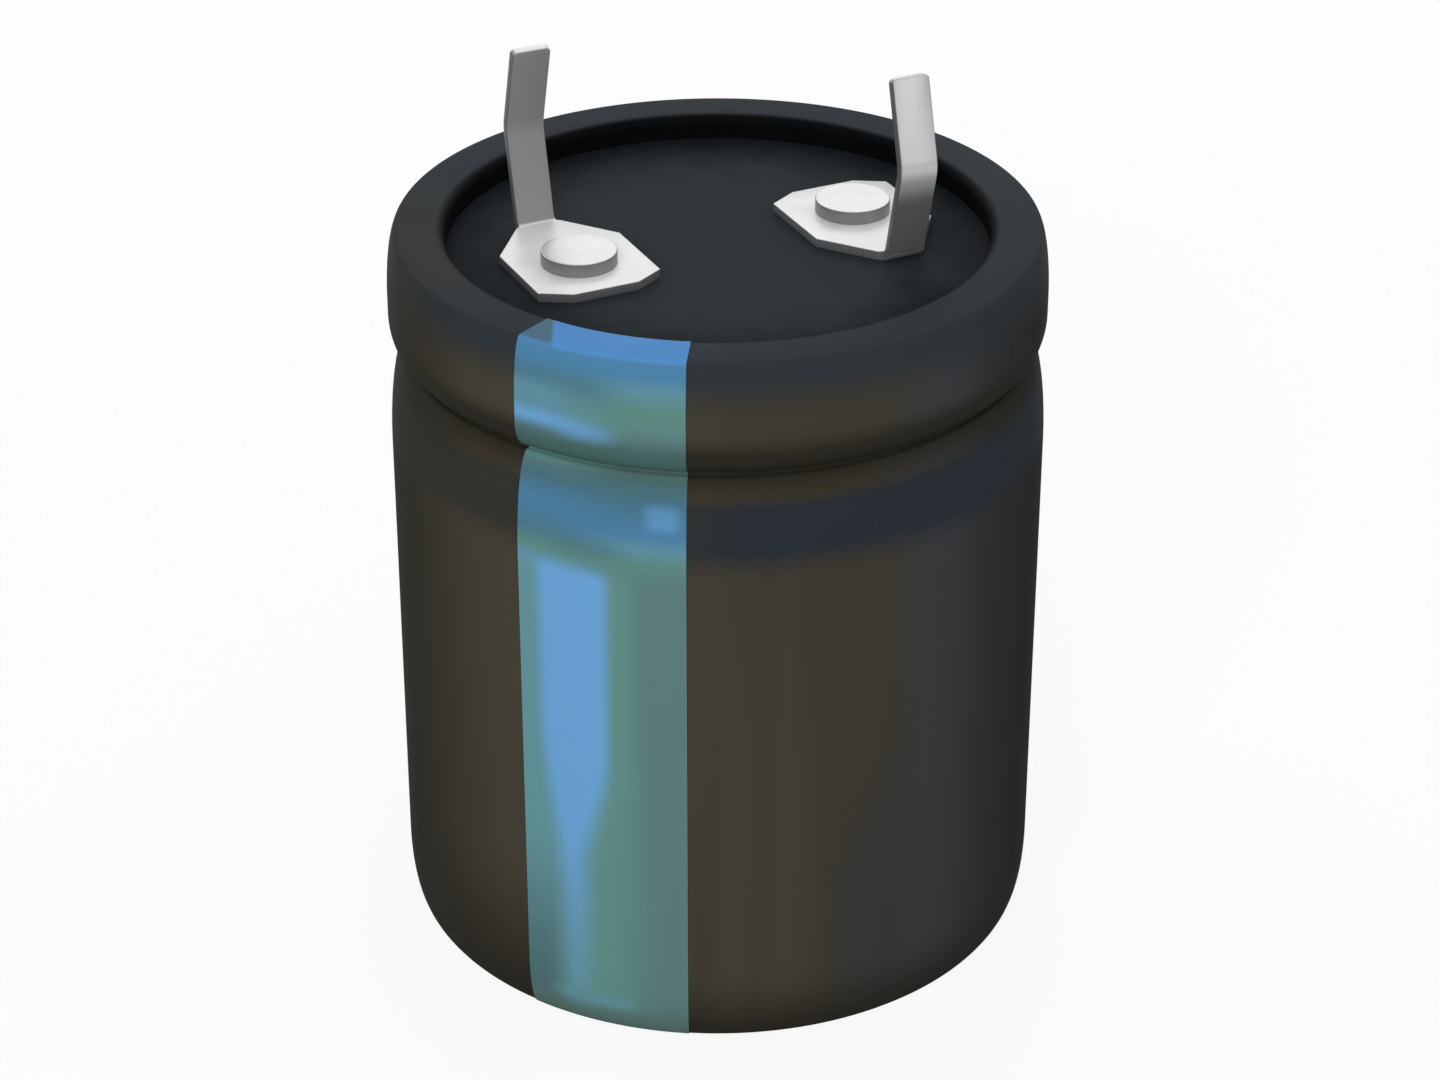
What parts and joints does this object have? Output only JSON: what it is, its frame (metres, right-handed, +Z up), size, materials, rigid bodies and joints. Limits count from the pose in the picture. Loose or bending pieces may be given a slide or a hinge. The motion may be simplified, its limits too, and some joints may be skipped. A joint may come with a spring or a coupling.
{
  "type": "electrolytic capacitor",
  "caption": "Snap-in aluminium electrolytic capacitor: sleeved can with a rolled bead, a rubber deck, a blue polarity stripe and riveted, kinked blade terminals.",
  "frame": {"origin": "centre of the foot, at the height of the surface that the capacitor stands on", "axes": "+Z up the can's axis towards the terminals, -Y towards the front, where the polarity stripe lies a little left of the middle, +X to the right, on the positive terminal's side"},
  "size_m": [0.0224, 0.0224, 0.0313],
  "materials": {
    "sleeve_film": "dark brown-grey heat-shrunk film, glossy with faint upright streaks",
    "stripe_ink": "blue-green print under the film's gloss",
    "can_aluminium": "drawn, satin",
    "end_disc_film": "matte dark grey film",
    "deck_rubber": "matte black rubber",
    "board_resin": "brown resin board",
    "terminal_sheet": "bright matte tin plating",
    "rivet_aluminium": "bright satin",
    "washer_aluminium": "satin",
    "tab_foil": "soft foil, dull",
    "winding_paper": "soaked paper between etched foils",
    "tape_film": "amber film tape"
  },
  "bodies": {
    "root": {"sleeve": "sleeve_film", "polarity_stripe": "stripe_ink", "can": "can_aluminium", "end_disc": "end_disc_film", "seal_disc": "deck_rubber", "terminal_board": "board_resin", "terminal_negative": "terminal_sheet", "terminal_positive": "terminal_sheet", "rivet_negative": "rivet_aluminium", "rivet_positive": "rivet_aluminium", "washer_negative": "washer_aluminium", "washer_positive": "washer_aluminium", "tab_negative": "tab_foil", "tab_positive": "tab_foil", "winding": "winding_paper", "closing_tape": "tape_film"}
  },
  "joints": []
}
